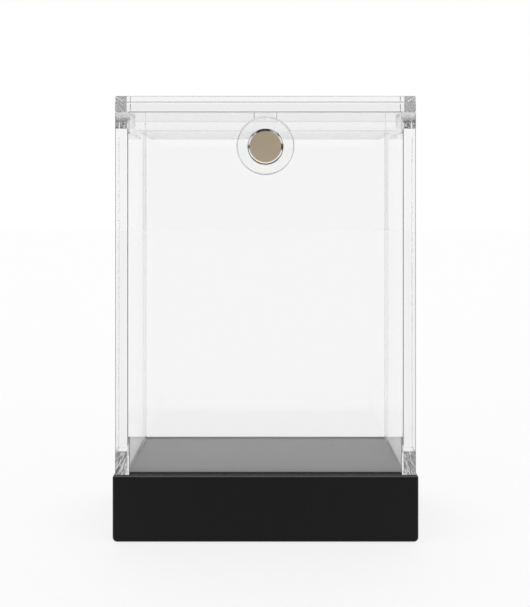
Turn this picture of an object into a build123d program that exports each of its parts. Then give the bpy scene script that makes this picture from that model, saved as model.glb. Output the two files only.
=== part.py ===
"""Clear display case for trading cards on a black block base.

Millimetres, +Z up. The front faces -Y. The origin is the middle of the base's underside.
The lid carries a tab with a magnet, which hangs behind the front panel and its own magnet.
"""

from build123d import *
import os

# Base block: cast black acrylic, polished edges, rounder along the foot of its two sides
base_height = 25.4
base_overhang = 0.9
base_edge_radius = 0.9
base_foot_radius = 1.8

# Walls: clear acrylic sheet, the front and rear panels set between the side panels.
# Edges that a hand meets are broken, and edges in a cemented joint stay sharp.
case_width = 115.0
case_depth = 46.0
wall_height = 138.5
wall_thickness = 5.0
sheet_edge_break = 0.3

# Joints between clear pieces
cement_film = 0.05
lid_rest_film = 0.05

# Lid: two laminated sheets, and a locating plate under them that nests inside the walls
lid_top_sheet_thickness = 2.4
lid_lower_sheet_thickness = 3.85
locating_plate_thickness = 6.7
locating_side_clearance = 1.9
locating_front_clearance = 0.55

# Magnet tab: a short neck and a round disc, let into the locating plate's front edge
tab_thickness = 4.0
tab_neck_width = 9.0
tab_neck_length = 1.15
tab_disc_diameter = 22.5

# Magnets: one in the tab's disc, its partner in the front panel
magnet_diameter = 13.8
magnet_thickness = 3.0
magnet_edge_radius = 0.9
magnet_below_disc_middle = 0.6
magnet_side_clearance = 0.05
magnet_end_clearance = 0.05

# Heights that follow
wall_top = base_height + wall_height
lid_underside = wall_top + lid_rest_film
lid_sheet_joint = lid_underside + lid_lower_sheet_thickness
locating_plate_top = lid_underside - cement_film
locating_plate_bottom = locating_plate_top - locating_plate_thickness
tab_disc_z = lid_underside - tab_neck_length - tab_disc_diameter / 2
magnet_z = tab_disc_z - magnet_below_disc_middle

# Planes from front to back that follow
case_front = -case_depth / 2
front_panel_rear = case_front + wall_thickness
tab_front = front_panel_rear + locating_front_clearance
tab_rear = tab_front + tab_thickness

ON_TOP = (Align.CENTER, Align.CENTER, Align.MIN)
HANGING = (Align.CENTER, Align.CENTER, Align.MAX)


def upright_edges(sheet):
    """The four corner edges of a sheet that stands on its lower face."""
    return sheet.edges().filter_by(Axis.Z)


def upper_edges(sheet):
    """The four edges around a sheet's upper face."""
    return sheet.edges().group_by(Axis.Z)[-1]


def lower_edges(sheet):
    """The four edges around a sheet's lower face."""
    return sheet.edges().group_by(Axis.Z)[0]


def disc_facing_front(diameter, thickness, front_y, centre_z):
    """A round blank whose front face lies at front_y and whose axis runs back along +Y."""
    blank = Cylinder(diameter / 2, thickness, align=ON_TOP)
    return Pos(0, front_y, centre_z) * Rot(-90, 0, 0) * blank


def magnet_bore(front_y):
    """The round pocket that takes one magnet, from front_y to the back."""
    bore_diameter = magnet_diameter + 2 * magnet_side_clearance
    bore_depth = magnet_thickness + magnet_end_clearance
    return disc_facing_front(bore_diameter, bore_depth, front_y, magnet_z)


def magnet(front_y):
    """A plated disc magnet with rounded rims."""
    blank = disc_facing_front(magnet_diameter, magnet_thickness, front_y, magnet_z)
    rims = blank.edges().filter_by(GeomType.CIRCLE)
    return fillet(rims, magnet_edge_radius)


def base_block():
    """The block that the case is cemented to, a little wider and deeper than the case."""
    width = case_width + 2 * base_overhang
    depth = case_depth + 2 * base_overhang
    block = Box(width, depth, base_height, align=ON_TOP)
    side_feet = lower_edges(block).filter_by(Axis.Y)
    block = fillet(side_feet, base_foot_radius)
    outlines = block.edges().group_by(Axis.Y)
    side_tops = upper_edges(block).filter_by(Axis.Y)
    return fillet(outlines[0] + outlines[-1] + side_tops, base_edge_radius)


def side_panel(side):
    """A side panel, as deep as the case: side is -1 on the left and +1 on the right."""
    panel = Box(wall_thickness, case_depth, wall_height, align=ON_TOP)
    panel = chamfer(upright_edges(panel), sheet_edge_break)
    middle_x = side * (case_width - wall_thickness) / 2
    return Pos(middle_x, 0, base_height) * panel


def cross_panel(side):
    """A panel set between the side panels: side is -1 at the front and +1 at the rear."""
    width = case_width - 2 * (wall_thickness + cement_film)
    panel = Box(width, wall_thickness, wall_height, align=ON_TOP)
    middle_y = side * (case_depth - wall_thickness) / 2
    return Pos(0, middle_y, base_height) * panel


def front_panel():
    """The front panel, with a blind bore from the back for its magnet."""
    bore_front = front_panel_rear - magnet_thickness - magnet_end_clearance
    return cross_panel(-1) - magnet_bore(bore_front)


def lid_top_sheet():
    """The upper sheet of the lid, flush with the walls' outer faces."""
    sheet = Box(case_width, case_depth, lid_top_sheet_thickness, align=ON_TOP)
    outer_edges = upright_edges(sheet) + upper_edges(sheet)
    sheet = chamfer(outer_edges, sheet_edge_break)
    return Pos(0, 0, lid_sheet_joint + cement_film) * sheet


def lid_lower_sheet():
    """The lower sheet of the lid, which rests on the walls, left sharp along the rear."""
    sheet = Box(case_width, case_depth, lid_lower_sheet_thickness, align=ON_TOP)
    front_and_side_edges = lower_edges(sheet).sort_by(Axis.Y)[:-1]
    sheet = chamfer(upright_edges(sheet) + front_and_side_edges, sheet_edge_break)
    return Pos(0, 0, lid_underside) * sheet


def tab_neck_blank(width, thickness, gap_to_disc):
    """The strip between the lid and the tab's disc, hollowed to follow the disc."""
    strip = Box(width, thickness, locating_plate_top - tab_disc_z, align=HANGING)
    strip = Pos(0, tab_front + thickness / 2, locating_plate_top) * strip
    disc_room = tab_disc_diameter + 2 * gap_to_disc
    return strip - disc_facing_front(disc_room, thickness, tab_front, tab_disc_z)


def tab_room():
    """The keyhole-shaped space that the tab takes out of the locating plate."""
    depth = tab_thickness + cement_film
    neck_width = tab_neck_width + 2 * cement_film
    disc_room = tab_disc_diameter + 2 * cement_film
    neck = tab_neck_blank(neck_width, depth, 0)
    return neck + disc_facing_front(disc_room, depth, tab_front, tab_disc_z)


def lid_locating_plate():
    """The plate cemented under the lid, with a notch for the tab in its front edge."""
    width = case_width - 2 * (wall_thickness + locating_side_clearance)
    depth = case_depth - 2 * (wall_thickness + locating_front_clearance)
    plate = Box(width, depth, locating_plate_thickness, align=ON_TOP)
    plate = chamfer(upright_edges(plate) + lower_edges(plate), sheet_edge_break)
    return Pos(0, 0, locating_plate_bottom) * plate - tab_room()


def lid_tab_disc():
    """The round end of the tab, bored from the front for the lid's magnet."""
    disc = disc_facing_front(tab_disc_diameter, tab_thickness, tab_front, tab_disc_z)
    disc = chamfer(disc.edges().filter_by(GeomType.CIRCLE), sheet_edge_break)
    return disc - magnet_bore(tab_front)


nodes = {
    "base_block": base_block(),
    "left_side_panel": side_panel(-1),
    "right_side_panel": side_panel(1),
    "front_panel": front_panel(),
    "rear_panel": cross_panel(1),
    "front_panel_magnet": magnet(front_panel_rear - magnet_thickness),
    "lid_top_sheet": lid_top_sheet(),
    "lid_lower_sheet": lid_lower_sheet(),
    "lid_locating_plate": lid_locating_plate(),
    "lid_tab_neck": tab_neck_blank(tab_neck_width, tab_thickness, cement_film),
    "lid_tab_disc": lid_tab_disc(),
    "lid_magnet": magnet(tab_front),
}

os.makedirs("parts", exist_ok=True)
for name, solid in nodes.items():
    export_step(solid, f"parts/{name}.step")
    print(name, round(solid.volume, 1))
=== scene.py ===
# %% [markdown]
# # A clear display case on a black block
# The object is a small showcase for trading cards. Four clear acrylic panels stand on a
# solid block of black acrylic, and a lid of two laminated sheets lifts off. A round tab with
# a magnet hangs under the lid and finds its partner in the front panel.
#
# The solids are already there, each at its real size and place. This lesson gives them their
# finishes, adds the cement that holds the panels down, and sets up a small white studio.
# Everything is in metres, +Z is up and the front faces -Y.

# %% Load the solids
import math
import random

import bpy
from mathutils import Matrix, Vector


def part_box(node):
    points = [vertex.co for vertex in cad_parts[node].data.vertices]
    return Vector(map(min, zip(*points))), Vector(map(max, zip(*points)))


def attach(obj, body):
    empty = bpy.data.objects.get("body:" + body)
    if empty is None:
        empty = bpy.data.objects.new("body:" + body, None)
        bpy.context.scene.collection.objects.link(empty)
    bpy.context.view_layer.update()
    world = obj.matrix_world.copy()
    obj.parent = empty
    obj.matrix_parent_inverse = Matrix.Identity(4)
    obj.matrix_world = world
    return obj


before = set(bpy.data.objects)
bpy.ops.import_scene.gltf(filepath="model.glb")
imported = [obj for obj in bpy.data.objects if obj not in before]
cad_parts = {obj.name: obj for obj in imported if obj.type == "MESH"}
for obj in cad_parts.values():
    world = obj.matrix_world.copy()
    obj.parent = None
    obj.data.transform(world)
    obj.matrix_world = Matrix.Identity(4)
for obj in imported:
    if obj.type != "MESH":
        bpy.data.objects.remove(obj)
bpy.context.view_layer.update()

print("solids:", ", ".join(sorted(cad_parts)))

# %% [markdown]
# ## Helpers for materials
# A colour chart gives a plastic or a metal as an sRGB hex value, and a renderer works in
# linear light, so one function turns the first into the second. A material is a tree of
# nodes. It could be wired by hand in the editor, but a script can be read and run again, so
# a second function adds one node, sets what is given and links what is given. The third
# starts a material: an empty tree, and the place of the point that is being shaded.
#
# Some nodes have a row of sockets for each kind of value, and then sockets go by number. A
# Mix node for colours has its factor at input 0, the colours at 6 and 7, and its result at
# output 2.

# %% Colour, node and material helpers
MM = 0.001


def linear(hex_colour):
    """sRGB hex to linear RGBA, by the curve of the sRGB standard."""
    channels = [int(hex_colour[i:i + 2], 16) / 255 for i in (1, 3, 5)]
    light = [c / 12.92 if c <= 0.04045 else ((c + 0.055) / 1.055) ** 2.4 for c in channels]
    return (*light, 1.0)


def node(tree, kind, settings=None, inputs=None):
    """Add one node. A node or socket given as an input is linked, and a value is set."""
    made = tree.nodes.new(kind)
    for name, value in (settings or {}).items():
        setattr(made, name, value)
    for name, value in (inputs or {}).items():
        if isinstance(value, bpy.types.Node):
            value = value.outputs[0]
        if isinstance(value, bpy.types.NodeSocket):
            tree.links.new(value, made.inputs[name])
        else:
            made.inputs[name].default_value = value
    return made


def new_material(name):
    """A new material, its empty tree, and the place of a point on the piece."""
    made = bpy.data.materials.new(name)
    made.use_nodes = True
    made.node_tree.nodes.clear()
    place = node(made.node_tree, "ShaderNodeTexCoord").outputs["Object"]
    return made, made.node_tree, place


print("mid grey #808080 is", round(linear("#808080")[0], 3), "in linear light")

# %% [markdown]
# ## Where a point lies on its solid
# A sheet's faces, its sawn ends and its eased edges differ in finish, but a solid from CAD is
# one mesh with one material. The mesh could be cut into patches by hand. It is easier to let
# the material ask where a point lies. Every solid keeps its place in its mesh, so Object
# coordinates are real places, and how deep a point lies in a box is simple arithmetic.
#
# A mask is a number from 0 to 1 that turns a finish on. The first mask here finds what lies
# in a box. The second finds the chamfers of a sheet: points that are near to two of its
# faces and lie on neither.

# %% Masks from a box
X, Y, Z = 0, 1, 2
LOW, HIGH = 0, 1
FACE_TOLERANCE = 0.02 * MM      # how near to a plane a point counts as lying on it
EDGE_BREAK = 0.3 * MM           # width that the scraper takes off an edge


def offset_from_middle(tree, place, low, high):
    """The way from the middle of a box to a point."""
    middle = [(a + b) / 2 for a, b in zip(low, high)]
    return node(tree, "ShaderNodeVectorMath", {"operation": "SUBTRACT"}, {0: place, 1: middle})


def depths_in_box(tree, place, low, high):
    """How deep a point lies in a box along x, y and z, and the least of the three."""
    half = [(b - a) / 2 for a, b in zip(low, high)]
    offset = offset_from_middle(tree, place, low, high)
    reach = node(tree, "ShaderNodeVectorMath", {"operation": "ABSOLUTE"}, {0: offset})
    depth = node(tree, "ShaderNodeVectorMath", {"operation": "SUBTRACT"}, {0: half, 1: reach})
    x, y, z = node(tree, "ShaderNodeSeparateXYZ", inputs={0: depth}).outputs
    least = node(tree, "ShaderNodeMath", {"operation": "MINIMUM"}, {0: x, 1: y})
    least = node(tree, "ShaderNodeMath", {"operation": "MINIMUM"}, {0: least, 1: z})
    return x, y, z, least


def inside(tree, place, boxes):
    """1 in any of some boxes, and 0 elsewhere."""
    mask = None
    for low, high in boxes:
        least = depths_in_box(tree, place, low, high)[3]
        within = node(tree, "ShaderNodeMath", {"operation": "GREATER_THAN"}, {0: least, 1: 0.0})
        if mask is None:
            mask = within
        else:
            mask = node(tree, "ShaderNodeMath", {"operation": "MAXIMUM"}, {0: mask, 1: within})
    return mask


def on_broken_edge(tree, place, node_name):
    """1 on the chamfers of a sheet: near to two faces, and on none."""
    x, y, z, least = depths_in_box(tree, place, *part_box(node_name))
    near_two = 1.0              # a metre, so more than any two depths here
    for a, b in ((x, y), (y, z), (x, z)):
        both = node(tree, "ShaderNodeMath", {"operation": "ADD"}, {0: a, 1: b})
        near_two = node(tree, "ShaderNodeMath", {"operation": "MINIMUM"}, {0: near_two, 1: both})
    near_two = node(tree, "ShaderNodeMath", {"operation": "LESS_THAN"},
                    {0: near_two, 1: EDGE_BREAK + FACE_TOLERANCE})
    on_none = node(tree, "ShaderNodeMath", {"operation": "GREATER_THAN"},
                   {0: least, 1: FACE_TOLERANCE / 2})
    return node(tree, "ShaderNodeMath", {"operation": "MULTIPLY"}, {0: on_none, 1: near_two})


print("an edge is eased by", round(EDGE_BREAK / MM, 2), "mm")

# %% [markdown]
# ## Boxes around faces, and masks on discs
# A box as thin as a hair around one face picks out that face, and it can be cut short where
# a finish stops. The tab's disc and the magnets are round, so their rims are found by how far
# a point lies from the axis, which runs from front to back.

# %% Boxes and discs
def grown(low, high, by=FACE_TOLERANCE):
    """A box made larger on every side."""
    return [v - by for v in low], [v + by for v in high]


def slab(node_name, axis, side, clips=()):
    """A thin box around one face of a solid. Clips are (axis, side, where to stop)."""
    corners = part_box(node_name)
    face = grown(*corners)
    face[LOW][axis] = corners[side][axis] - FACE_TOLERANCE
    face[HIGH][axis] = corners[side][axis] + FACE_TOLERANCE
    for clip_axis, clip_side, value in clips:
        face[clip_side][clip_axis] = value
    return face


def rear_half(node_name):
    """The rear half of a solid's box."""
    low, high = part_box(node_name)
    start, end = grown(low, high)
    start[Y] = (low[Y] + high[Y]) / 2
    return start, end


def near_rim(tree, place, node_name, width):
    """1 in a ring along the rim of a disc that faces the front."""
    low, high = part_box(node_name)
    flat = node(tree, "ShaderNodeVectorMath", {"operation": "MULTIPLY"},
                {0: offset_from_middle(tree, place, low, high), 1: (1.0, 0.0, 1.0)})
    radius = node(tree, "ShaderNodeVectorMath", {"operation": "LENGTH"}, {0: flat})
    start = (high[X] - low[X]) / 2 - width
    return node(tree, "ShaderNodeMapRange", inputs={
        "Value": radius.outputs["Value"], "From Min": start - FACE_TOLERANCE,
        "From Max": start + FACE_TOLERANCE})


def along(tree, place, axis, start, end, first=0.0, last=1.0):
    """A value that goes from first to last between two planes."""
    coordinate = node(tree, "ShaderNodeSeparateXYZ", inputs={0: place}).outputs[axis]
    return node(tree, "ShaderNodeMapRange", inputs={
        "Value": coordinate, "From Min": start, "From Max": end, "To Min": first, "To Max": last})


disc_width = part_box("lid_tab_disc")[HIGH][X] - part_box("lid_tab_disc")[LOW][X]
print("the tab's disc is", round(disc_width / MM, 1), "mm across")

# %% [markdown]
# ## Clear cast acrylic
# Cast acrylic (PMMA) passes 92 % of the light and has an IOR of 1.49. Its faces come polished
# from the glass mould, so a sheet is as clear as water, and only a very long, shallow ripple
# tells it from glass. The eye sees the sheet by its edges and by what it reflects.
#
# A thin fake with a see-through colour would be quick, but it has no thickness. These sheets
# are real solids, so a transmissive shader bends the light as the plastic does, and a faint
# absorption inside greys the long ways through it. Where a mask says that the surface is
# matt, the same shader gets a colour, some roughness, and less clearness.

# %% The shader that all the clear pieces have
ACRYLIC_IOR = 1.49
ABSORPTION = 1.2                # per metre
CLEAR = "#FFFFFF"
MATT_ROUGHNESS = 0.35
MATT_CLEARNESS = 0.4            # share of the light that still passes where it is matt
RIPPLE_WIDTH = 15 * MM
RIPPLE_HEIGHT = 0.002 * MM
RIPPLE_DETAIL = 1.0             # layers of ever finer noise, as in every pattern here


def casting_ripple(tree, place):
    """The long, shallow ripple of a cast sheet, as a bump."""
    ripple = node(tree, "ShaderNodeTexNoise", inputs={
        "Vector": place, "Scale": 1 / RIPPLE_WIDTH, "Detail": RIPPLE_DETAIL})
    return node(tree, "ShaderNodeBump", inputs={"Height": ripple, "Distance": RIPPLE_HEIGHT})


def close_acrylic(tree, colour, roughness, clearness, bump):
    """The surface and the body of a piece of clear acrylic."""
    shader = node(tree, "ShaderNodeBsdfPrincipled", inputs={
        "Base Color": colour, "Roughness": roughness, "IOR": ACRYLIC_IOR,
        "Transmission Weight": clearness, "Normal": bump})
    body = node(tree, "ShaderNodeVolumeAbsorption", inputs={
        "Color": (0.0, 0.0, 0.0, 1.0), "Density": ABSORPTION})
    node(tree, "ShaderNodeOutputMaterial", inputs={"Surface": shader, "Volume": body})


def polished_acrylic():
    """Clear acrylic that is polished all over."""
    made, tree, place = new_material("clear cast acrylic, polished")
    close_acrylic(tree, linear(CLEAR), 0.0, 1.0, casting_ripple(tree, place))
    return made


finishes = {}
finishes["front_panel"] = finishes["rear_panel"] = polished_acrylic()
print("polished all over: front_panel, rear_panel")

# %% [markdown]
# ## Sawn ends and scraped edges
# The ends that get hidden in a joint are left as the saw cut them: rough, milky and streaked
# along the cut. Seen through the polished front they are the grey textured squares in the
# four corners, and they tell the eye that this is thick plastic. The long edges that a hand
# meets are eased with a scraper, which leaves a fine matt line, and its grey is a painted
# dark outline.
#
# The saw marks could be cut into the mesh, but they are a tenth of a millimetre high. A
# noise pattern does as well, stretched thirtyfold along the cut: it gives the light and dark
# streaks and a bump. The blade leaves several marks to the millimetre. They are drawn
# 0.6 mm apart here, because finer ones wouldn't show in a small picture.

# %% Saw marks and scraper lines
SAW_MARK_SPACING = 0.6 * MM
SAW_MARK_STRETCH = 30
SAW_MARK_HEIGHT = 0.2 * MM      # drawn deeper than real marks, as they are drawn wider
SAW_MARK_STRENGTH = 0.8
SAW_MARK_DETAIL = 6.0
SAW_SLOPE = math.radians(4)     # the marks climb a little towards the front
SAW_STREAKS = (0.44, 0.58)      # the part of the noise that goes from dark to light
SAWN_DARK = "#58585E"
SAWN_LIGHT = "#FAFAFC"
# The grey on the scraped edges is a painted dark outline, and the lid's joint stain shares it
STAIN_AND_PAINTED_OUTLINE = "#8C8C90"


def saw_marks(tree, place, spacing=SAW_MARK_SPACING, streaks=SAW_STREAKS):
    """The height of the saw's marks, and how light each streak is."""
    stretched = node(tree, "ShaderNodeMapping", inputs={
        "Vector": place, "Rotation": (SAW_SLOPE, 0.0, 0.0),
        "Scale": (1 / spacing, 1 / (SAW_MARK_STRETCH * spacing), 1 / spacing)})
    marks = node(tree, "ShaderNodeTexNoise", inputs={
        "Vector": stretched, "Scale": 1.0, "Detail": SAW_MARK_DETAIL})
    light = node(tree, "ShaderNodeMapRange", inputs={
        "Value": marks, "From Min": streaks[0], "From Max": streaks[1]})
    return marks, light


def scraped_edges(tree, place, node_name, front, rear, spared=()):
    """How matt the eased edges of a sheet are, in front and at the rear. In the boxes that
    are spared they stay polished."""
    strength = node(tree, "ShaderNodeMapRange", inputs={
        "Value": inside(tree, place, [rear_half(node_name)]), "To Min": front, "To Max": rear})
    mask = node(tree, "ShaderNodeMath", {"operation": "MULTIPLY"},
                {0: on_broken_edge(tree, place, node_name), 1: strength})
    if spared:
        mask = node(tree, "ShaderNodeMath", {"operation": "SUBTRACT", "use_clamp": True},
                    {0: mask, 1: inside(tree, place, spared)})
    return mask


def matt_acrylic(tree, place, scraped=None, sawn=None):
    """Clear acrylic with two masks, for its scraped edges and for its sawn ends."""
    colour, matt = linear(CLEAR), 0.0
    bump = casting_ripple(tree, place)
    if scraped:
        # Painted dark outline: the scraped edges are greyed as well as made matt
        colour = node(tree, "ShaderNodeMix", {"data_type": "RGBA"},
                      {0: scraped, 6: colour, 7: linear(STAIN_AND_PAINTED_OUTLINE)}).outputs[2]
        matt = scraped
    if sawn:
        marks, light = saw_marks(tree, place)
        streaks = node(tree, "ShaderNodeMix", {"data_type": "RGBA"},
                       {0: light, 6: linear(SAWN_DARK), 7: linear(SAWN_LIGHT)}).outputs[2]
        colour = node(tree, "ShaderNodeMix", {"data_type": "RGBA"},
                      {0: sawn, 6: colour, 7: streaks}).outputs[2]
        matt = node(tree, "ShaderNodeMath", {"operation": "MAXIMUM"}, {0: matt, 1: sawn})
        height = node(tree, "ShaderNodeMath", {"operation": "MULTIPLY"}, {0: sawn, 1: marks})
        bump = node(tree, "ShaderNodeBump", inputs={
            "Height": height, "Strength": SAW_MARK_STRENGTH, "Distance": SAW_MARK_HEIGHT,
            "Normal": bump})
    roughness = node(tree, "ShaderNodeMath", {"operation": "MULTIPLY"},
                     {0: matt, 1: MATT_ROUGHNESS})
    clearness = node(tree, "ShaderNodeMapRange", inputs={
        "Value": matt, "To Min": 1.0, "To Max": MATT_CLEARNESS})
    close_acrylic(tree, colour, roughness, clearness, bump)


print("saw marks are drawn", round(SAW_MARK_SPACING / MM, 2), "mm apart")

# %% [markdown]
# ## The side panels
# Each side panel is as deep as the case, so its front and rear ends show. Its top end is
# sawn and lies under the lid, and the rear face carries the same streaks just below it.
# Towards the front the cut is cleaner. The edges beside the locating plate and beside the
# foot of the front panel were never scraped, so they are left out of the mask.

# %% Side panels
STREAKED_DEPTH = 2.8 * MM           # how far down the rear face is streaked
CLEAN_CUT = (6 * MM, -12 * MM)  # the cut gets cleaner between these places in y
CLEANEST = 0.4                  # how milky the cut is at its front end
PLATE_DEPTH = 6.3 * MM          # the inner edges stay polished beside the lid's plate
FOOT_HEIGHT = 11 * MM           # and beside the cement at the foot of the front panel
SIDE_SCRAPED = (1.0, 0.2)       # how matt the edges are in front and at the rear


def side_panel_acrylic(name):
    """A side panel: sawn along its top, streaked at the top of its rear, its edges scraped."""
    made, tree, place = new_material("clear cast acrylic, " + name.replace("_", " "))
    low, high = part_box(name)
    middle = (low[X] + high[X]) / 2
    inner, outer = (HIGH, LOW) if middle < 0 else (LOW, HIGH)
    streaked = slab(name, Y, HIGH, [(Z, LOW, high[Z] - STREAKED_DEPTH)])
    beside_plate = slab(name, Z, HIGH, [
        (Z, LOW, high[Z] - PLATE_DEPTH), (X, inner, 0.0), (X, outer, middle)])
    foot = slab(name, Y, LOW, [(Z, HIGH, low[Z] + FOOT_HEIGHT), (X, outer, middle)])
    foot = grown(*foot, EDGE_BREAK)
    scraped = scraped_edges(tree, place, name, *SIDE_SCRAPED, [beside_plate, foot])
    sawn = node(tree, "ShaderNodeMath", {"operation": "MULTIPLY"}, {
        0: inside(tree, place, [slab(name, Z, HIGH), streaked]),
        1: along(tree, place, Y, *CLEAN_CUT, 1.0, CLEANEST)})
    matt_acrylic(tree, place, scraped, sawn)
    return made


for name in ("left_side_panel", "right_side_panel"):
    finishes[name] = side_panel_acrylic(name)
    print(name, "is sawn on top and torn", round(STREAKED_DEPTH / MM, 1), "mm down its rear")

# %% [markdown]
# ## The lid
# The two sheets of the lid were laminated first and sawn together, so the same marks run
# over both of their ends. Towards the rear someone has buffed them away. The cement between
# the sheets has left a faint stain along the joint in front. The lower sheet's front edge is
# scraped harder than the upper one's, but not over the side panels, where no line shows. The
# locating plate under them is polished all round, with a very light touch of the scraper.
#
# A strip of its own could stand for the stain, but it would be thinner than a hair. One more
# mask is enough: where it applies, the front is a little matt.

# %% Lid and locating plate
POLISHED_REAR = 13 * MM         # the saw's marks are buffed away this far from the rear
LID_SCRAPED = {"lid_top_sheet": (0.33, 0.0), "lid_lower_sheet": (0.9, 0.0)}  # front and rear
JOINT_LINE = 0.35 * MM          # the cement between the sheets stains their front this far
JOINT_STAIN = 0.35              # how matt the stain is
PLATE_SCRAPED = (0.12, 0.1)     # front and rear


def over_side_panels(name):
    """Two boxes around the lower edges of a sheet, where they lie over the side panels."""
    panel_left, panel_right = (corner[X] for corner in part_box("front_panel"))
    boxes = [slab(name, Z, LOW, [(X, HIGH, panel_left)]),
             slab(name, Z, LOW, [(X, LOW, panel_right)])]
    for box in boxes:
        box[HIGH][Z] += EDGE_BREAK
    return boxes


def lid_sheet_acrylic(name):
    """A sheet of the lid: both ends sawn up to the polished rear part, its edges scraped, and
    its front stained along the joint."""
    made, tree, place = new_material("clear cast acrylic, " + name.replace("_", " "))
    low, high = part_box(name)
    is_top = name == "lid_top_sheet"
    stop = [(Y, HIGH, high[Y] - POLISHED_REAR)]
    sawn = inside(tree, place, [slab(name, X, LOW, stop), slab(name, X, HIGH, stop)])
    joint = (Z, HIGH, low[Z] + JOINT_LINE) if is_top else (Z, LOW, high[Z] - JOINT_LINE)
    stain = node(tree, "ShaderNodeMath", {"operation": "MULTIPLY"}, {
        0: inside(tree, place, [slab(name, Y, LOW, [joint])]), 1: JOINT_STAIN})
    spared = () if is_top else over_side_panels(name)
    scraped = node(tree, "ShaderNodeMath", {"operation": "MAXIMUM"}, {
        0: scraped_edges(tree, place, name, *LID_SCRAPED[name], spared), 1: stain})
    matt_acrylic(tree, place, scraped, sawn)
    return made


def locating_plate_acrylic():
    """The plate under the lid, with edges that are hardly matt."""
    made, tree, place = new_material("clear cast acrylic, locating plate")
    matt_acrylic(tree, place, scraped_edges(tree, place, "lid_locating_plate", *PLATE_SCRAPED))
    return made


for name in ("lid_top_sheet", "lid_lower_sheet"):
    finishes[name] = lid_sheet_acrylic(name)
    print(name, "is sawn up to", round(POLISHED_REAR / MM, 1), "mm from its rear")
finishes["lid_locating_plate"] = locating_plate_acrylic()

# %% [markdown]
# ## The tab
# Only a thin line down each side of the tab's neck catches the light. On the disc's rim it
# is mostly the lower half, where it hangs clear of the plate. Both are masks again, so that
# the neck and the disc stay the plain pieces that they are.

# %% Neck and disc of the tab
DISC_SCRAPED = 0.6              # how matt the lower half of the rim is
NECK_LINE = 0.3 * MM


def tab_neck_acrylic():
    """The neck of the tab, with a sawn line down each side of its front."""
    made, tree, place = new_material("clear cast acrylic, tab neck")
    front = slab("lid_tab_neck", Y, LOW)
    left = slab("lid_tab_neck", Y, LOW, [(X, HIGH, front[LOW][X] + NECK_LINE)])
    right = slab("lid_tab_neck", Y, LOW, [(X, LOW, front[HIGH][X] - NECK_LINE)])
    matt_acrylic(tree, place, sawn=inside(tree, place, [left, right]))
    return made


def tab_disc_acrylic():
    """The disc of the tab, with the lower half of its rim scraped, and less and less above."""
    made, tree, place = new_material("clear cast acrylic, tab disc")
    low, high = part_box("lid_tab_disc")
    lower_half = along(tree, place, Z, high[Z], (low[Z] + high[Z]) / 2, 0.0, DISC_SCRAPED)
    scraped = node(tree, "ShaderNodeMath", {"operation": "MULTIPLY"}, {
        0: near_rim(tree, place, "lid_tab_disc", EDGE_BREAK), 1: lower_half})
    matt_acrylic(tree, place, scraped)
    return made


finishes["lid_tab_neck"] = tab_neck_acrylic()
finishes["lid_tab_disc"] = tab_disc_acrylic()
print("clear pieces with a finish:", len(finishes))

# %% [markdown]
# ## Black cast acrylic
# The block is solid black acrylic. Its outside is polished, so deep that it reads as black,
# and only a soft bloom of dust and hand marks lifts it. Its top face has a fine grinding
# grain, and its mid grey is a painted reflection of the bright room, which black acrylic
# mirrors at a grazing angle. Along the rounded edge between the two runs one pale line, a
# painted highlight.
#
# A plain black would look like a hole. The bloom is the shader's sheen, and a noise pattern
# varies the roughness as wiping with a cloth does, in faint smears about 4 mm across.

# %% Black cast acrylic
BLACK = "#050506"
# Painted reflection: the grey of the top face, varied by the grinding grain
TOP_REFLECTION_DARK = "#7C7C7D"
TOP_REFLECTION_LIGHT = "#89898A"
# Painted highlight along the rounded top edge
EDGE_HIGHLIGHT = "#747476"
EDGE_HIGHLIGHT_HEIGHTS = (0.55 * MM, 0.42 * MM, 0.2 * MM, 0.1 * MM)  # the painted highlight line, below the top face
GRINDING_GRAIN = 0.5 * MM       # 180 grit leaves finer marks, which would not show
GRINDING_HEIGHT = 0.01 * MM
GRINDING_STRENGTH = 0.3
GRINDING_DETAIL = 4.0
SMEAR_WIDTH = 4 * MM
SMEAR_DETAIL = 5.0
SMEARED = (0.08, 0.18)          # lowest and highest roughness of the outside
SHINE = 0.1                     # low, because the bloom dulls the polish
BLOOM_ROUGHNESS = 0.45


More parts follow.
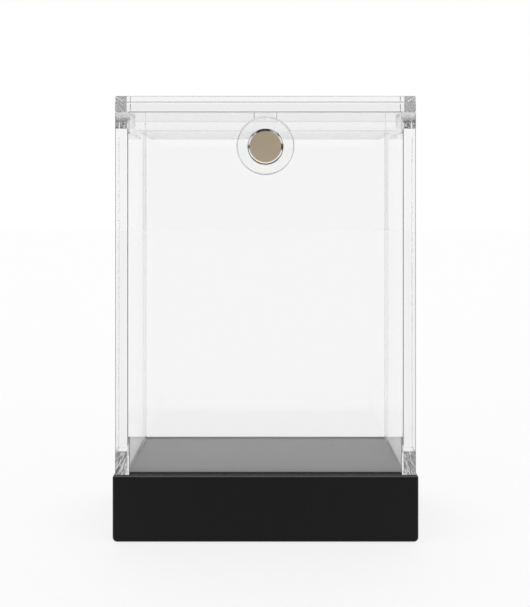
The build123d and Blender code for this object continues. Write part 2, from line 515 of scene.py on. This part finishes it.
def black_acrylic():
    """Polished black outside, painted grey reflection on top, painted highlight line between."""
    made, tree, place = new_material("black cast acrylic")
    top_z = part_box("base_block")[HIGH][Z]
    on_top = inside(tree, place, [slab("base_block", Z, HIGH)])
    grain = node(tree, "ShaderNodeTexNoise", inputs={
        "Vector": place, "Scale": 1 / GRINDING_GRAIN, "Detail": GRINDING_DETAIL})
    # Painted reflection: the top face's mid grey, varied by the grain
    grained_reflection = node(tree, "ShaderNodeMix", {"data_type": "RGBA"}, {
        0: grain, 6: linear(TOP_REFLECTION_DARK), 7: linear(TOP_REFLECTION_LIGHT)}).outputs[2]
    # Painted highlight: a pale band along the rounded edge, below the top face
    starts, full, wanes, ends = (top_z - below for below in EDGE_HIGHLIGHT_HEIGHTS)
    line = node(tree, "ShaderNodeMath", {"operation": "MULTIPLY"}, {
        0: along(tree, place, Z, starts, full), 1: along(tree, place, Z, wanes, ends, 1.0, 0.0)})
    pale_band = node(tree, "ShaderNodeMix", {"data_type": "RGBA"}, {
        0: line, 6: linear(BLACK), 7: linear(EDGE_HIGHLIGHT)}).outputs[2]
    colour = node(tree, "ShaderNodeMix", {"data_type": "RGBA"}, {
        0: on_top, 6: pale_band, 7: grained_reflection}).outputs[2]
    smears = node(tree, "ShaderNodeTexNoise", inputs={
        "Vector": place, "Scale": 1 / SMEAR_WIDTH, "Detail": SMEAR_DETAIL})
    roughness = node(tree, "ShaderNodeMapRange", inputs={
        "Value": smears, "To Min": SMEARED[0], "To Max": SMEARED[1]})
    bump = node(tree, "ShaderNodeBump", inputs={
        "Height": grain, "Strength": GRINDING_STRENGTH, "Distance": GRINDING_HEIGHT})
    shader = node(tree, "ShaderNodeBsdfPrincipled", inputs={
        "Base Color": colour, "Roughness": roughness, "IOR": ACRYLIC_IOR, "Normal": bump,
        "Specular IOR Level": SHINE, "Sheen Weight": 1.0, "Sheen Roughness": BLOOM_ROUGHNESS})
    node(tree, "ShaderNodeOutputMaterial", inputs={"Surface": shader})
    return made


finishes["base_block"] = black_acrylic()
print("the block is", BLACK, "outside and about", TOP_REFLECTION_LIGHT, "on top")

# %% [markdown]
# ## Nickel plate
# Both magnets are sintered discs plated with nickel. A tumbled plate has a satin face with a
# warm grey colour, and a rounded rim that is brighter and mirrors what is around it. Down in
# its bore the rim mirrors mostly cement and shadow, so it is bright in some places and
# nearly black in others. A mirror alone gives none of that in a white room, so the rim's
# colour is a painted reflection: painted glints and painted shade by the angle around the
# disc, a colour ramp with hard steps, and a painted shade line along its outer edge.

# %% Nickel plate
NICKEL = "#EADABC"
NICKEL_WORN = "#E0CEAE"
# Painted reflection on the rim: its glints and its shade
RIM_PAINTED_GLINT = "#FFF9EE"
RIM_PAINTED_SHADE = "#3A362E"
SATIN = (0.27, 0.33)            # lowest and highest roughness of the face
POLISHED = 0.06                 # and the roughness of the rim
TUMBLING_GRAIN = 0.4 * MM       # the dull and bright specks that tumbling leaves
TUMBLING_HEIGHT = 0.01 * MM
TUMBLING_STRENGTH = 0.2
TUMBLING_DETAIL = 3.0
RIM_WIDTH = 0.9 * MM
OUTER_SHADE_LINE = 0.3 * MM           # width of the painted shade line around the rim
OUTER_LINE_STRENGTH = 0.85
OUTER_LINE_HEIGHT = (3 * MM, -1 * MM)  # above the middle it fades out between these
# Where the painted reflection steps around the rim, in turns from the left by way of the foot
RIM_STEPS = [(0.035, RIM_PAINTED_GLINT), (0.455, RIM_PAINTED_GLINT), (0.48, RIM_PAINTED_SHADE), (0.52, RIM_PAINTED_SHADE),
             (0.54, RIM_PAINTED_GLINT), (0.69, RIM_PAINTED_GLINT), (0.715, RIM_PAINTED_SHADE), (0.83, RIM_PAINTED_SHADE),
             (0.85, RIM_PAINTED_GLINT), (0.965, RIM_PAINTED_GLINT)]


def painted_rim_reflection(tree, place, node_name):
    """The painted reflection around the magnet's rim, and a painted shade line along its edge."""
    offset = offset_from_middle(tree, place, *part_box(node_name))
    x, _, z = node(tree, "ShaderNodeSeparateXYZ", inputs={0: offset}).outputs
    angle = node(tree, "ShaderNodeMath", {"operation": "ARCTAN2"}, {0: z, 1: x})
    turn = node(tree, "ShaderNodeMapRange", inputs={
        "Value": angle, "From Min": -math.pi, "From Max": math.pi})
    around = node(tree, "ShaderNodeValToRGB", inputs={0: turn})
    steps = around.color_ramp.elements
    steps[0].color = steps[-1].color = linear(RIM_PAINTED_SHADE)
    for position, tone in RIM_STEPS:
        steps.new(position).color = linear(tone)
    lower = node(tree, "ShaderNodeMapRange", inputs={
        "Value": z, "From Min": OUTER_LINE_HEIGHT[0], "From Max": OUTER_LINE_HEIGHT[1],
        "To Max": OUTER_LINE_STRENGTH})
    line = node(tree, "ShaderNodeMath", {"operation": "MULTIPLY"},
                {0: near_rim(tree, place, node_name, OUTER_SHADE_LINE), 1: lower})
    return node(tree, "ShaderNodeMix", {"data_type": "RGBA"}, {
        0: line, 6: around, 7: linear(RIM_PAINTED_SHADE)}).outputs[2]


def nickel_plate(node_name):
    """A satin face, and a polished rim with a painted reflection."""
    made, tree, place = new_material("nickel plate, " + node_name.replace("_", " "))
    on_rim = near_rim(tree, place, node_name, RIM_WIDTH)
    specks = node(tree, "ShaderNodeTexNoise", inputs={
        "Vector": place, "Scale": 1 / TUMBLING_GRAIN, "Detail": TUMBLING_DETAIL})
    satin = node(tree, "ShaderNodeMapRange", inputs={
        "Value": specks, "To Min": SATIN[0], "To Max": SATIN[1]})
    roughness = node(tree, "ShaderNodeMix", inputs={0: on_rim, 2: satin, 3: POLISHED})
    face = node(tree, "ShaderNodeMix", {"data_type": "RGBA"}, {
        0: specks, 6: linear(NICKEL_WORN), 7: linear(NICKEL)}).outputs[2]
    # The rim's colour is a painted reflection
    colour = node(tree, "ShaderNodeMix", {"data_type": "RGBA"}, {
        0: on_rim, 6: face, 7: painted_rim_reflection(tree, place, node_name)}).outputs[2]
    bump = node(tree, "ShaderNodeBump", inputs={
        "Height": specks, "Strength": TUMBLING_STRENGTH, "Distance": TUMBLING_HEIGHT})
    shader = node(tree, "ShaderNodeBsdfPrincipled", inputs={
        "Base Color": colour, "Roughness": roughness, "Metallic": 1.0, "Normal": bump})
    node(tree, "ShaderNodeOutputMaterial", inputs={"Surface": shader})
    return made


for name in ("front_panel_magnet", "lid_magnet"):
    finishes[name] = nickel_plate(name)
print("steps around each magnet's rim:", len(RIM_STEPS))

# %% [markdown]
# ## Give the solids their finishes
# Each solid came with a plain material of one colour. Its mesh and its place stay as they
# are, and only the material in its slot is exchanged.

# %% Exchange the materials
for name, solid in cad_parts.items():
    solid.data.materials.clear()
    solid.data.materials.append(finishes[name])
print("finished solids:", len(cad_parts))

# %% [markdown]
# ## What lies between the panels and the block
# The panels are cemented to the block. Under the front panel the cement is black, and under
# the rear panel it is clear, and there it is painted the grey of the block's top, a painted
# reflection. The side panels show their sawn lower ends instead: against the black block the
# marks are pale streaks on dark grey.
#
# Milky plastic scatters light forwards, out through the front. A pale metal stands in for
# it: its mirror does so too, and it stays bright at the grazing angle at which the foot is
# seen.

# %% Finishes of the feet and the cement
FOOT_DARK = "#2C2C32"
FOOT_LIGHT = "#FFFFFF"
FOOT_ROUGHNESS = 0.25
FOOT_MARK_SPACING = 0.3 * MM
FOOT_STREAKS = (0.52, 0.6)      # the part of the noise that goes from dark to pale
FOOT_POLISHED = 7.5 * MM        # the foot is buffed this far from the rear
FOOT_BORDER = 4 * MM            # and is darkest just before that
FOOT_BORDER_STRENGTH = 0.6
FOOT_BLEND = 1 * MM             # half the width of the change to the buffed part
BLACK_CEMENT = ("#050505", "#0C0C0C")
REAR_CEMENT_REFLECTION = ("#BABABC", "#C4C4C6")  # clear cement, painted the grey of the block's top: a painted reflection
CEMENT_GRAIN = 1.5 * MM
CEMENT_ROUGHNESS = 0.6


def sawn_foot():
    """Pale streaks on dark grey, a dark border, and a polished end behind it."""
    made, tree, place = new_material("clear cast acrylic, sawn foot on black")
    streaks = saw_marks(tree, place, FOOT_MARK_SPACING, FOOT_STREAKS)[1]
    buffed_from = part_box("left_side_panel")[HIGH][Y] - FOOT_POLISHED
    streaky = node(tree, "ShaderNodeMix", {"data_type": "RGBA"}, {
        0: streaks, 6: linear(FOOT_DARK), 7: linear(FOOT_LIGHT)}).outputs[2]
    border = along(tree, place, Y, buffed_from - FOOT_BORDER, buffed_from - FOOT_BLEND,
                   0.0, FOOT_BORDER_STRENGTH)
    bordered = node(tree, "ShaderNodeMix", {"data_type": "RGBA"}, {
        0: border, 6: streaky, 7: linear(FOOT_DARK)}).outputs[2]
    pale_band = along(tree, place, Y, buffed_from - FOOT_BLEND, buffed_from + FOOT_BLEND)
    colour = node(tree, "ShaderNodeMix", {"data_type": "RGBA"}, {
        0: pale_band, 6: bordered, 7: linear(FOOT_LIGHT)}).outputs[2]
    shader = node(tree, "ShaderNodeBsdfPrincipled", inputs={
        "Base Color": colour, "Roughness": FOOT_ROUGHNESS, "Metallic": 1.0})
    node(tree, "ShaderNodeOutputMaterial", inputs={"Surface": shader})
    return made


def acrylic_cement(name, dark, light):
    """Cement as it dried: matt, with hardly any variation."""
    made, tree, place = new_material(name)
    grain = node(tree, "ShaderNodeTexNoise", inputs={"Vector": place, "Scale": 1 / CEMENT_GRAIN})
    colour = node(tree, "ShaderNodeMix", {"data_type": "RGBA"}, {
        0: grain, 6: linear(dark), 7: linear(light)}).outputs[2]
    shader = node(tree, "ShaderNodeBsdfPrincipled", inputs={
        "Base Color": colour, "Roughness": CEMENT_ROUGHNESS, "IOR": ACRYLIC_IOR,
        "Specular IOR Level": 0.0})
    node(tree, "ShaderNodeOutputMaterial", inputs={"Surface": shader})
    return made


front_cement = acrylic_cement("black acrylic cement", *BLACK_CEMENT)
# The grey under the rear panel is a painted reflection, as on the block's top
rear_cement = acrylic_cement("clear acrylic cement on ground black", *REAR_CEMENT_REFLECTION)
foot = sawn_foot()
print("under the panels:", ", ".join(m.name for m in (front_cement, rear_cement, foot)))

# %% [markdown]
# ## Beds of cement
# The cement could be a texture on the block, but then it would end at a panel's edge like
# a print. On the real piece it is squeezed out to a slightly uneven outline. So each bed is
# a thin sheet of its own, 0.03 mm to each side of the joint, and its outline wanders by up
# to 0.12 mm. The sawn feet are made in the same way.

# %% Beds
BED_RISE = 0.03 * MM            # how far a bed reaches into the panel and into the block
BED_INSET = 0.05 * MM           # how far its outline stays inside the panel's, at the least
BED_WANDER = 0.12 * MM
BED_STEP = 2.5 * MM             # length of one side of the outline
BED_SEED = 5
chance = random.Random(BED_SEED)
base_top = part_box("base_block")[HIGH][Z]


def bed_outline(low, high):
    """Points around a rectangle, each moved inwards by a little."""
    corners = [(low[X], low[Y]), (high[X], low[Y]), (high[X], high[Y]), (low[X], high[Y])]
    middle = [(a + b) / 2 for a, b in zip(low, high)]
    points = []
    for (x0, y0), (x1, y1) in zip(corners, corners[1:] + corners[:1]):
        count = max(2, round(math.dist((x0, y0), (x1, y1)) / BED_STEP))
        for step in range(count):
            point = [x0 + (x1 - x0) * step / count, y0 + (y1 - y0) * step / count]
            for axis in (X, Y):
                inset = BED_INSET + BED_WANDER * chance.random()
                point[axis] += math.copysign(inset, middle[axis] - point[axis])
            points.append(point)
    return points


def solid_from_rings(name, rings, finish):
    """An object on the case from rings of points, bottom to top, closed at both ends."""
    count = len(rings[0])
    last = count * (len(rings) - 1)
    faces = [tuple(reversed(range(count))), tuple(range(last, last + count))]
    for row in range(0, last, count):
        for i in range(count):
            after = (i + 1) % count
            faces.append((row + i, row + after, row + count + after, row + count + i))
    mesh = bpy.data.meshes.new(name)
    mesh.from_pydata([point for ring in rings for point in ring], [], faces)
    mesh.materials.append(finish)
    made = bpy.data.objects.new(name, mesh)
    bpy.context.scene.collection.objects.link(made)
    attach(made, "case")
    return made


def bed(name, node_name, finish):
    """A thin sheet around the plane where a panel stands on the block."""
    outline = bed_outline(*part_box(node_name))
    rings = [[(x, y, base_top + rise) for x, y in outline] for rise in (-BED_RISE, BED_RISE)]
    solid_from_rings(name, rings, finish)
    print(name, "has", len(outline), "points around it")


bed("cement_under_front_panel", "front_panel", front_cement)
bed("cement_under_rear_panel", "rear_panel", rear_cement)
for panel in ("left_side_panel", "right_side_panel"):
    bed("sawn_foot_of_" + panel, panel, foot)

# %% [markdown]
# ## Two runs of clear cement
# In the grooves between the front panel and the side panels some clear cement has run and
# set. It caught tiny bubbles, so it shows as a bright white line beside each foot, and it
# thins out where it stopped creeping upwards.
#
# A tube could be drawn by hand twice. A Geometry Nodes tree makes both from one recipe: a
# line up the groove, a radius that tapers and wanders, and a small square swept along it,
# because the cement was wiped flat in front. Its sizes are named inputs, and the seed is
# fixed, so it comes out the same each time.

# %% The recipe of a cement run
RUN_HEIGHT = 12 * MM
RUN_RADIUS = 0.4 * MM           # from its middle to its corners
RUN_DEPTH = 0.26 * MM           # how far its middle lies behind the front face
RUN_POINTS = 28
RUN_WANDER = (0.93, 1.03)       # thinnest and thickest, as shares of the radius
RUN_TAPER = 6                   # the higher, the later it thins out
RUN_END = 0.15                  # thickness at its upper end, as a share of the radius
RUN_SIDES = 4
RUN_TURN = math.radians(45)     # turns a flat side of the square to the front


def cement_run_tree():
    """The recipe of a run of cement that climbs a groove."""
    tree = bpy.data.node_groups.new("cement run", "GeometryNodeTree")
    for name, kind in (("Foot", "Vector"), ("Height", "Float"), ("Radius", "Float"),
                       ("Seed", "Int"), ("Finish", "Material")):
        tree.interface.new_socket(name, in_out="INPUT", socket_type="NodeSocket" + kind)
    tree.interface.new_socket("Geometry", in_out="OUTPUT", socket_type="NodeSocketGeometry")
    given = node(tree, "NodeGroupInput").outputs
    climb = node(tree, "ShaderNodeCombineXYZ", inputs={"Z": given["Height"]})
    top = node(tree, "ShaderNodeVectorMath", {"operation": "ADD"}, {0: given["Foot"], 1: climb})
    line = node(tree, "GeometryNodeCurvePrimitiveLine", inputs={"Start": given["Foot"], "End": top})
    line = node(tree, "GeometryNodeResampleCurve", inputs={"Curve": line, "Count": RUN_POINTS})
    share = node(tree, "GeometryNodeSplineParameter").outputs["Factor"]
    lost = node(tree, "ShaderNodeMath", {"operation": "POWER"}, {0: share, 1: RUN_TAPER})
    kept = node(tree, "ShaderNodeMapRange", inputs={
        "Value": lost, "To Min": 1.0, "To Max": RUN_END})
    wander = node(tree, "FunctionNodeRandomValue", inputs={  # 2 and 3 are the float limits
        2: RUN_WANDER[0], 3: RUN_WANDER[1], "Seed": given["Seed"]}).outputs[1]
    width = node(tree, "ShaderNodeMath", {"operation": "MULTIPLY"}, {0: kept, 1: wander})
    width = node(tree, "ShaderNodeMath", {"operation": "MULTIPLY"}, {0: width, 1: given["Radius"]})
    ring = node(tree, "GeometryNodeCurvePrimitiveCircle", inputs={
        "Resolution": RUN_SIDES, "Radius": 1.0})
    ring = node(tree, "GeometryNodeTransform", inputs={
        "Geometry": ring, "Rotation": (0.0, 0.0, RUN_TURN)})
    tube = node(tree, "GeometryNodeCurveToMesh", inputs={
        "Curve": line, "Profile Curve": ring, "Scale": width, "Fill Caps": True})
    tube = node(tree, "GeometryNodeRealizeInstances", inputs={"Geometry": tube})
    tube = node(tree, "GeometryNodeSetMaterial", inputs={
        "Geometry": tube, "Material": given["Finish"]})
    node(tree, "NodeGroupOutput", inputs={"Geometry": tube})
    return tree


run_tree = cement_run_tree()
print("nodes in the recipe:", len(run_tree.nodes))

# %% [markdown]
# ## Make the two runs
# A modifier follows the recipe, and it has to be given its inputs by the identifiers of
# their sockets. Its result is turned into a plain mesh before it joins the case, because a
# plain mesh is what other programs can read. Set cement is milky as the sawn feet are, so a
# pale metal stands in for it too.

# %% Two runs of clear cement
SET_CEMENT = ("#F4F4F4", "#FFFFFF")
SET_CEMENT_ROUGHNESS = 0.15
BUBBLE_SPACING = 0.6 * MM
BUBBLE_DETAIL = 3.0


def cement_run(name, tree, settings):
    """One run, made by the recipe and turned into a plain mesh that rides on the case."""
    made = bpy.data.objects.new(name, bpy.data.meshes.new(name))
    bpy.context.scene.collection.objects.link(made)
    recipe = made.modifiers.new("cement run", "NODES")
    recipe.node_group = tree
    for socket in tree.interface.items_tree:
        if socket.in_out == "INPUT":
            recipe[socket.identifier] = settings[socket.name]
    solved = made.evaluated_get(bpy.context.evaluated_depsgraph_get())
    mesh = bpy.data.meshes.new_from_object(solved)
    made.modifiers.remove(recipe)
    made.data = mesh
    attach(made, "case")
    print(name, "has", len(mesh.polygons), "faces")


def clear_cement():
    """Set cement full of tiny bubbles: bright, and glossy where it dried."""
    made, tree, place = new_material("clear acrylic cement, set")
    bubbles = node(tree, "ShaderNodeTexNoise", inputs={
        "Vector": place, "Scale": 1 / BUBBLE_SPACING, "Detail": BUBBLE_DETAIL})
    colour = node(tree, "ShaderNodeMix", {"data_type": "RGBA"}, {
        0: bubbles, 6: linear(SET_CEMENT[0]), 7: linear(SET_CEMENT[1])}).outputs[2]
    shader = node(tree, "ShaderNodeBsdfPrincipled", inputs={
        "Base Color": colour, "Roughness": SET_CEMENT_ROUGHNESS, "Metallic": 1.0})
    node(tree, "ShaderNodeOutputMaterial", inputs={"Surface": shader})
    return made


run_finish = clear_cement()
front_low, front_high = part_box("front_panel")
for seed, (side, joint) in enumerate((("left", front_low[X]), ("right", front_high[X]))):
    cement_run("cement_bead_" + side, run_tree, {
        "Foot": (joint, front_low[Y] + RUN_DEPTH, base_top + BED_RISE),
        "Height": RUN_HEIGHT, "Radius": RUN_RADIUS, "Seed": seed, "Finish": run_finish})

# %% [markdown]
# ## A white floor
# A clear object shows what is behind it, so it stands in white all round. More light on the
# floor would bleach it, and would light the object too. The floor is given its own
# whiteness instead, for the camera and for rays that come through the acrylic or off
# something shiny. It is a little weaker through the acrylic, so that seen from the front
# there is hardly a line where the floor ends. From the side and from behind a faint one
# shows. A middling grey under it still takes the light and the shadow.

# %% White floor
FLOOR_GLOW = 0.77
FLOOR_THROUGH = 0.71            # the glow that is seen through the acrylic
FLOOR_GREY = 0.35               # share of the light that it gives back
FLOOR_HALF = 3.0                # metres from its middle to each side
WHITE = linear("#FFFFFF")


def white_floor():
    """A little of its own white, and a shade of grey that takes the shadow."""
    made, tree, _ = new_material("white studio floor")
    path = node(tree, "ShaderNodeLightPath").outputs
    seen = node(tree, "ShaderNodeMath", {"operation": "MAXIMUM"},
                {0: path["Is Glossy Ray"], 1: path["Is Transmission Ray"]})
    seen = node(tree, "ShaderNodeMath", {"operation": "MAXIMUM"},
                {0: seen, 1: path["Is Camera Ray"]})
    strength = node(tree, "ShaderNodeMapRange", inputs={
        "Value": path["Is Transmission Ray"], "To Min": FLOOR_GLOW, "To Max": FLOOR_THROUGH})
    level = node(tree, "ShaderNodeMath", {"operation": "MULTIPLY"}, {0: seen, 1: strength})
    shaded = node(tree, "ShaderNodeBsdfDiffuse", inputs={
        "Color": (FLOOR_GREY, FLOOR_GREY, FLOOR_GREY, 1.0)})
    glow = node(tree, "ShaderNodeEmission", inputs={"Color": WHITE, "Strength": level})
    both = node(tree, "ShaderNodeAddShader", inputs={0: shaded, 1: glow})
    node(tree, "ShaderNodeOutputMaterial", inputs={"Surface": both})
    return made


mesh = bpy.data.meshes.new("studio_floor")
corners = [(x * FLOOR_HALF, y * FLOOR_HALF, 0) for x, y in ((-1, -1), (1, -1), (1, 1), (-1, 1))]
mesh.from_pydata(corners, [], [(0, 1, 2, 3)])
mesh.materials.append(white_floor())
floor = bpy.data.objects.new("studio_floor", mesh)
bpy.context.scene.collection.objects.link(floor)
print("the floor is", 2 * FLOOR_HALF, "m square")

# %% [markdown]
# ## The room
# The soft light comes from the world: a white wall behind the object, a soft box on each
# side, a dimmer room in front and a dimmer ceiling. The edges of clear plastic are drawn by
# the steps between light and dark parts of the room, so those steps matter more than lamps.
# The camera, and rays that pass straight through the acrylic, see plain white.
#
# Area lamps would do for a matt object. Here they would show as hard-edged mirror images in
# the polished sheets.

# %% Soft light from all round
ROOM_FRONT = 0.42               # level of the dimmer room in front
ROOM_BRIGHT = 1.0               # level of the wall behind and of the soft boxes
CEILING = 0.5                   # share of the light that comes from above
CEILING_FROM = (0.62, 0.72)     # height of a direction, where the ceiling starts and is full
WALL_FROM = (-0.3, 0.2)         # how far back it points, for the wall behind
BOXES_FROM = (0.35, 0.6)        # how far to the side it points, for the soft boxes


def studio_room():
    """The world's light by its direction."""
    world = bpy.data.worlds.new("studio")
    world.use_nodes = True
    tree = world.node_tree
    tree.nodes.clear()
    direction = node(tree, "ShaderNodeTexCoord").outputs["Generated"]
    x, y, z = node(tree, "ShaderNodeSeparateXYZ", inputs={0: direction}).outputs
    wall = node(tree, "ShaderNodeMapRange", inputs={
        "Value": y, "From Min": WALL_FROM[0], "From Max": WALL_FROM[1],
        "To Min": ROOM_FRONT, "To Max": ROOM_BRIGHT})
    sideways = node(tree, "ShaderNodeMath", {"operation": "ABSOLUTE"}, {0: x})
    boxes = node(tree, "ShaderNodeMapRange", inputs={
        "Value": sideways, "From Min": BOXES_FROM[0], "From Max": BOXES_FROM[1],
        "To Min": ROOM_FRONT, "To Max": ROOM_BRIGHT})
    above = node(tree, "ShaderNodeMapRange", inputs={
        "Value": z, "From Min": CEILING_FROM[0], "From Max": CEILING_FROM[1],
        "To Min": 1.0, "To Max": CEILING})
    around = node(tree, "ShaderNodeMath", {"operation": "MAXIMUM"}, {0: wall, 1: boxes})
    room = node(tree, "ShaderNodeMath", {"operation": "MULTIPLY"}, {0: around, 1: above})
    path = node(tree, "ShaderNodeLightPath").outputs
    unmirrored = node(tree, "ShaderNodeMath", {"operation": "LESS_THAN"},
                      {0: path["Glossy Depth"], 1: 0.5})  # a depth of 0 is no mirror so far
    through = node(tree, "ShaderNodeMath", {"operation": "MULTIPLY"},
                   {0: unmirrored, 1: path["Is Transmission Ray"]})
    white = node(tree, "ShaderNodeMath", {"operation": "MAXIMUM"},
                 {0: through, 1: path["Is Camera Ray"]})
    level = node(tree, "ShaderNodeMath", {"operation": "MAXIMUM"}, {0: room, 1: white})
    light = node(tree, "ShaderNodeBackground", inputs={"Color": WHITE, "Strength": level})
    node(tree, "ShaderNodeOutputWorld", inputs={"Surface": light})
    return world


scene = bpy.context.scene
scene.world = studio_room()
scene.view_settings.view_transform = "Standard"
print("the room in front gives", ROOM_FRONT, "of the light of the wall behind")

# %% [markdown]
# ## The camera
# The camera looks level from three quarters of the object's height, so the uprights stay
# upright and the picture is only shifted down, as with a view camera. It stands 26 cm in
# front of the case, which makes the far end of the block's top face clearly narrower than
# the near end.
#
# Rays through clear sheets cross many surfaces, so they are allowed more bounces.

# %% Camera
PICTURE_HEIGHT = 607            # pixels
HORIZON = 204                   # the row at the camera's own height
BLOCK_TOP_ROW = 475             # the row of the block's top, at the front of the case
MIDDLE_SHIFT = -0.5             # pixels from the middle of the case to that of the picture
CAMERA_DISTANCE = 676           # pixels, at the scale of the front of the case
PIXELS_PER_METRE = 2618
SENSOR = 36                     # millimetres
BOUNCES = 32                    # through clear sheets
MIRROR_BOUNCES = 16

lens = bpy.data.cameras.new("camera")
lens.sensor_width = SENSOR
lens.lens = SENSOR * CAMERA_DISTANCE / PICTURE_HEIGHT
lens.shift_y = (HORIZON - PICTURE_HEIGHT / 2) / PICTURE_HEIGHT
lens.clip_start = 10 * MM
camera = bpy.data.objects.new("camera", lens)
camera.location = (MIDDLE_SHIFT / PIXELS_PER_METRE,
                   front_low[Y] - CAMERA_DISTANCE / PIXELS_PER_METRE,
                   base_top + (BLOCK_TOP_ROW - HORIZON) / PIXELS_PER_METRE)
camera.rotation_euler = (math.radians(90), 0, 0)
scene.collection.objects.link(camera)
scene.camera = camera
scene.cycles.max_bounces = BOUNCES
scene.cycles.transmission_bounces = BOUNCES
scene.cycles.glossy_bounces = MIRROR_BOUNCES
print("camera at", [round(v, 3) for v in camera.location], "m, lens", round(lens.lens, 1), "mm")
